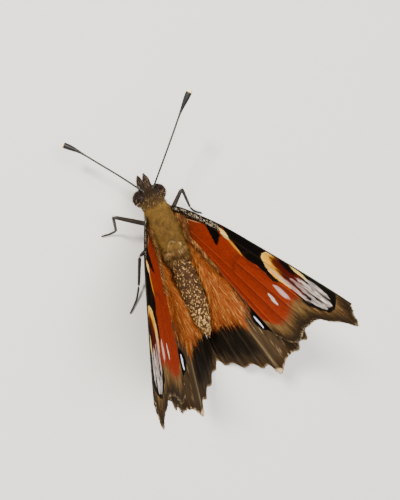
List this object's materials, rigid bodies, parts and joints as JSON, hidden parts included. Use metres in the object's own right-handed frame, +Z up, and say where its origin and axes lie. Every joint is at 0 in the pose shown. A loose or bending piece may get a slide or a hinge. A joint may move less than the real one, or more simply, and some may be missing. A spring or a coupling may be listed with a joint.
{
  "type": "peacock butterfly model",
  "caption": "Life-size peacock butterfly standing with its wings raised in a V, with eyespots, scalloped wing edges, clubbed antennae and furry body.",
  "frame": {"origin": "on the floor, under the middle of the animal's bounding box", "axes": "head points to -Y, the animal's left is +X, +Z up"},
  "size_m": [0.0236, 0.044, 0.0302],
  "materials": {
    "fur": "olive-gold fur, matt",
    "belly": "dark brown scales with pale speckles",
    "eye": "dark brown, faceted, with short hairs",
    "horn": "dark brown to black, satin",
    "forewing_scales": "powdery rust-red, black, cream and violet scales",
    "hindwing_scales": "powdery brown scales with an orange-brown hairy field"
  },
  "bodies": {
    "root": {"thorax": "fur", "abdomen": "belly", "head": "fur", "proboscis": "horn", "eye_l": "eye", "palp_l": "fur", "antenna_l": "horn", "forewing_l": "forewing_scales", "hindwing_l": "hindwing_scales", "foreleg_l": "horn", "midleg_l": "horn", "hindleg_l": "horn", "eye_r": "eye", "palp_r": "fur", "antenna_r": "horn", "forewing_r": "forewing_scales", "hindwing_r": "hindwing_scales", "foreleg_r": "horn", "midleg_r": "horn", "hindleg_r": "horn"}
  },
  "joints": []
}
